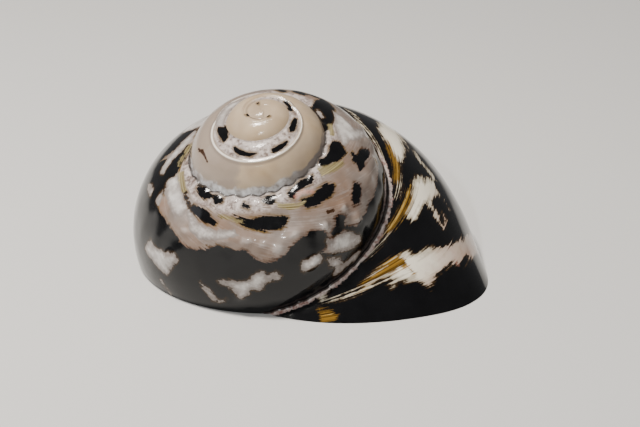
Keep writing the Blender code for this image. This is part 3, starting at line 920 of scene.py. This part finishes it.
# Turban shell ground down and polished by hand: low, even gloss with sharp small highlights over
# black, cream and ochre layers, and a duller chalky skin where the wheel didn't reach.
def polishedShell():
    material = bpy.data.materials.new("polished pearl and black shell")
    material.use_nodes = True
    tree = material.node_tree
    tree.nodes.clear()
    field = {}
    for name in skinFields:
        node = put(tree, "ShaderNodeAttribute", {"attribute_name": name}, {})
        field[name] = Number(node.outputs["Fac"])
    growth = field["turn"]
    place = field["band"]

    # Growth lines run from the suture backward across the band; features stretch along them.
    line = growth + place.calc("MAXIMUM", 0.0).calc("SQRT") * 0.5
    objectPlace = put(tree, "ShaderNodeTexCoord", {}, {}).outputs["Object"]
    sources = {name: (objectPlace, 1.0 / (size * mm), detail)
               for name, (size, detail) in patterns.items()}
    for name, (count, across, change, shift, detail) in streaks.items():
        stretched = put(tree, "ShaderNodeCombineXYZ", {}, {
            0: line * count + shift, 1: place * across, 2: growth * change})
        sources[name] = (stretched.outputs[0], 1.0, detail)
    pattern = {}
    for name, (vector, scale, detail) in sources.items():
        node = put(tree, "ShaderNodeTexNoise", {}, {
            "Vector": vector, "Scale": scale, "Detail": detail, "Roughness": 0.6})
        pattern[name] = Number(node.outputs[0]) - 0.5
    coarse, medium, grain = pattern["coarse"], pattern["medium"], pattern["grain"]
    streak, sweep = pattern["streak"], pattern["sweep"]
    cloud = (pattern["cloud"] * 1.8 + 0.5).clamp()
    patch = (pattern["patch"] * 3.0 + 0.5).clamp()
    wave = (coarse * 3.6 + medium * 1.2 + 0.5).clamp()
    strand = (pattern["strand"] * 3.4 + 0.5).clamp()
    mottle = (coarse * 1.6 + medium * 3.4 + grain * 1.4 + 0.60).clamp()

    # Lays coats over a first tone in turn, each a tone and how much of it shows.
    def coats(first, *layers):
        below = colour(tones[first]) if isinstance(first, str) else first
        for tone, share in layers:
            above = colour(tones[tone]) if isinstance(tone, str) else tone
            node = put(tree, "ShaderNodeMix", {"data_type": "RGBA"}, {0: share, 6: below, 7: above})
            below = node.outputs[2]
        return below

    # Masks from the drawn outlines, torn along the growth lines and most of all on the last whorl.
    spire = growth.ramp(-0.50, -0.62)
    lastPart = growth.ramp(0.40, 0.55)
    ragged = (coarse * 1.2 + medium * 1.5 + grain * 0.7) * (spire * -0.55 + 1.0)
    feather = streak * (lastPart * 2.2 + 0.5) + sweep * (lastPart * 3.6 + 0.8)
    drawn = spire * -0.7 + 1.0
    darkEdge = field["black"] + ragged
    dark = (darkEdge + (streak * 0.5 + sweep * 1.3) * drawn + 0.25).ramp(-0.10, 0.10)
    halo = (darkEdge + (streak * 1.2 + sweep * 2.4) * drawn + 0.25).ramp(-0.95, -0.02)
    brown = (field["brown"] + ragged * 0.5).ramp(-0.10, 0.15)
    lightEdge = field["white"] + ragged * 0.9 + feather
    light = lightEdge.ramp(-0.12, 0.14)
    core = lightEdge.ramp(0.10, 1.6)
    glow = lightEdge.ramp(-0.75, 0.0)
    ochreEdge = field["ochre"] + ragged * 0.7 + streak * (lastPart * 3.4 + 2.0)
    ochre = ochreEdge.ramp(-0.30, 0.15)
    atLip = growth.ramp(0.6, 0.7) * place.ramp(0.08, 0.04)
    pink = (field["pink"] + ragged - atLip * 0.5).ramp(-0.5, 0.6)

    # Pearl ground: beige on the spire, grey brown on the nodular whorl.
    greyer = (growth + coarse * 0.06).ramp(-0.93, -0.89) * 0.75
    beige = coats("beige", ("light beige", cloud),
                  ("grey beige", (patch * 0.35).calc("MAXIMUM", greyer)))
    veil = ((sweep + coarse * 0.7) * 3.0).clamp()
    pearl = coats("pearl", ("light pearl", cloud), ("brown pearl", patch * 0.55),
                  ("veil", veil * 0.45))

    # Chalky skin under the suture of the nodular whorl and inside the cord of the spire.
    fromCord = place - cordPlace(growth)
    onSpire = growth.ramp(-1.50, -1.40) * spire
    underSuture = place.ramp(0.20, 0.13) * growth.ramp(-0.62, -0.50) * growth.ramp(0.50, 0.35)
    spireBand = fromCord.ramp(-0.02, -0.06) * growth.ramp(-1.62, -1.50) * spire
    chalky = underSuture.calc("MAXIMUM", spireBand)
    chalk = coats("dark chalk", ("chalk", mottle))
    # A pale pearl band just above the suture on the spire; on its right side it is painted dark
    # grey as shade.
    rimPlace = place + cloud * 0.14 + coarse * 0.10 - 0.07
    rim = rimPlace.ramp(0.85, 0.91) * spire * growth.ramp(-1.30, -1.15)
    brightRim = coats("rim", ("bright rim", wave))
    rimPearlAndShade = coats("painted shade on rim", (brightRim, growth.ramp(-1.08, -1.00)))
    # The tops of the nodules are lighter: partly worn through to brighter pearl, partly a painted
    # highlight.
    topWearAndHighlight = (field["bead"] + medium * 0.4).ramp(0.55, 1.1) * 0.4
    foot = (field["bead"] + medium * 0.3).ramp(0.10, -0.12) * (spire * -0.5 + 0.5)
    cordLine = fromCord.ramp(-0.025, -0.01) * fromCord.ramp(0.022, 0.005) * onSpire
    besideCord = fromCord.ramp(0.015, 0.04) * fromCord.ramp(0.09, 0.05) * onSpire
    ground = coats(
        pearl, (beige, spire), (chalk, chalky * 0.9), (rimPearlAndShade, rim * 0.9), ("nodule wear and highlight", topWearAndHighlight),
        ("nodule foot", foot * (chalky * -1.0 + 1.0)), ("beside cord", besideCord * 0.6),
        ("cord", cordLine * 0.9))

    # The flames: an olive halo, then brown, black, light, ochre and pink over one another.
    oliveLines = coats("dark olive", ("olive", (streak * 2.6 + 0.4).clamp()))
    olive = coats("low olive", (oliveLines, place.ramp(0.50, 0.30)))
    black = coats("black", ("soft black", cloud))
    amber = glow * dark * (streak * 2.0 + 0.55).calc("MAXIMUM", 0.0) * 0.6
    paleFlame = coats("grey flame", ("pale flame", core * (wave * 0.6 + 0.4)))
    creamFlame = coats("dull cream", ("cream", core))
    lightTone = coats(paleFlame, (creamFlame, lastPart))
    firstOchre = coats("dark ochre", ("ochre", strand))
    lastOchre = coats("last dark ochre", ("last ochre", strand))
    ochreTone = coats(firstOchre, (lastOchre, lastPart),
                      ("ochre thread", strand.ramp(0.80, 1.0) * 0.6))
    lipEnd = light * growth.ramp(0.74, 0.79) * growth.ramp(0.90, 0.86)
    lipEnd = lipEnd * (place + medium * 0.1).ramp(0.20, 0.34)
    lipTone = coats("lip", ("pale lip", cloud))

    # A thin line of painted shade in each suture crease, and the pale ragged welt where the last
    # whorl joins.
    paintedSutureShade = (field["from suture"] + grain * 0.3).ramp(0.80, 0.40) * growth.ramp(-2.1, -1.9)
    paintedSutureShade = paintedSutureShade * (growth.ramp(-0.62, -0.58) * 0.65 + 0.35)
    welt = (field["from suture"] + ragged * 1.6 + streak * 1.4).ramp(1.7, 1.4)
    welt = welt * growth.ramp(0.62, 0.72)
    weltTone = coats("welt", ("pale welt", mottle))

    # Inside the aperture and on the rim the bare pearl shows; the base of the whorl is black.
    inner = coats("inside", ("bright inside", cloud), ("warm inside", patch * 0.4))
    away = put(tree, "ShaderNodeVectorMath", {"operation": "DISTANCE"}, {
        0: objectPlace, 1: wear["callus at"]})
    fromCallus = Number(away.outputs["Value"]) / mm + coarse * 6.0 + medium * 1.5
    underside = field["zone"].ramp(1.2, 1.6) * fromCallus.ramp(*wear["callus radius"])
    baseTone = coats(black, ("base pearl", (patch + coarse * 1.2).ramp(0.88, 0.96)))
    skin = coats(
        ground, (olive, halo * (sweep * 3.0 + 0.75).clamp(0.15, 1.0)), ("brown", brown),
        (black, dark), ("amber", amber), (lightTone, light), (ochreTone, ochre),
        ("pink", pink * 0.6), (lipTone, lipEnd * 0.85), (weltTone, welt * 0.9),
        ("paintedSutureShade", paintedSutureShade * 0.9),
        (coats(inner, (baseTone, underside)), field["zone"].ramp(0.3, 0.6)))

    # Fine growth lines under the polish, and a rougher, duller grain on the chalky skin.
    lines = streak * (dark * -0.3 + 0.5) + grain * chalky * 1.2 + medium * 0.25
    uneven = put(tree, "ShaderNodeBump", {}, {
        "Strength": wear["line strength"], "Distance": wear["line depth"], "Height": lines})
    dull = wear["chalky"]
    roughness = chalky * (dark * -dull + dull) + wear["polished"]
    surface = put(tree, "ShaderNodeBsdfPrincipled", {}, {
        **finish, "Base Color": skin, "Roughness": roughness, "Normal": uneven.outputs[0]})
    put(tree, "ShaderNodeOutputMaterial", {}, {"Surface": surface.outputs[0]})
    return material


shellMaterial = polishedShell()
outer = growSurface(shellMaterial)
print("outer surface", len(outer.vertices), "vertices")
shellMesh = closeShell(outer)
bpy.data.meshes.remove(outer)
shellMesh.materials.append(shellMaterial)
shellMesh.shade_smooth()
shellMesh.set_sharp_from_angle(angle=math.radians(42.0))
shell = addObject("topShell", shellMesh)
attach(shell, "root")
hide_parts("shell")
print("shell", len(shellMesh.polygons), "faces")


room = {
    "floor": "#D3D2CF",
    "floor roughness": 0.85,
    "floor half side": 1.5,
    "floor height": -0.0001,
    "world": "#CBCBCB",
    "world strength": 0.30,
}


# Plain pale floor, matt, so only the shell shines.
def paleFloor():
    material = bpy.data.materials.new("matt pale floor")
    material.use_nodes = True
    surface = material.node_tree.nodes["Principled BSDF"]
    surface.inputs["Base Color"].default_value = colour(room["floor"])
    surface.inputs["Roughness"].default_value = room["floor roughness"]
    side = room["floor half side"]
    z = room["floor height"]
    corners = [(-side, -side, z), (side, -side, z), (side, side, z), (-side, side, z)]
    floorMesh = bpy.data.meshes.new("floor")
    floorMesh.from_pydata(corners, [], [(0, 1, 2, 3)])
    floorMesh.materials.append(material)
    floor = addObject("floor", floorMesh)


lamps = {
    "key": {"at": (-0.20, -0.04, 0.60), "size": 0.10, "power": 6.6, "tint": "#FFF9F2"},
    "sparkle": {"at": (-0.16, -0.54, 0.36), "size": 0.025, "power": 1.4, "tint": "#FFFFFF"},
    "left rim": {"at": (-0.60, 0.10, 0.25), "size": 0.35, "power": 0.4, "tint": "#F4F7FF"},
}


def softLamps():
    aim = Vector((0.0, 0.0, 0.02))
    for name, facts in lamps.items():
        data = bpy.data.lights.new(name, "AREA")
        data.shape = "SQUARE"
        data.size = facts["size"]
        data.energy = facts["power"]
        data.color = colour(facts["tint"])[:3]
        lamp = addObject(name, data)
        lamp.location = facts["at"]
        lamp.rotation_euler = (aim - lamp.location).to_track_quat("-Z", "Y").to_euler()
    world = bpy.data.worlds.new("studio")
    world.use_nodes = True
    background = world.node_tree.nodes["Background"]
    background.inputs["Color"].default_value = colour(room["world"])
    background.inputs["Strength"].default_value = room["world strength"]
    bpy.context.scene.world = world


# The photo's view: 24 degrees above the table from a little over half a metre away.
view = {
    "at": Vector((-11.215, -513.178, 235.235)) * mm,
    "direction": Vector((0.02533, 0.91569, -0.40109)),
    "sensor width": 36.0,
    "lens": 123.7,
}


def photoCamera():
    data = bpy.data.cameras.new("photo camera")
    data.sensor_width = view["sensor width"]
    data.lens = view["lens"]
    camera = addObject("photo camera", data)
    camera.location = view["at"]
    camera.rotation_euler = view["direction"].to_track_quat("-Z", "Y").to_euler()
    bpy.context.scene.camera = camera


paleFloor()
softLamps()
photoCamera()
print("stage ready")
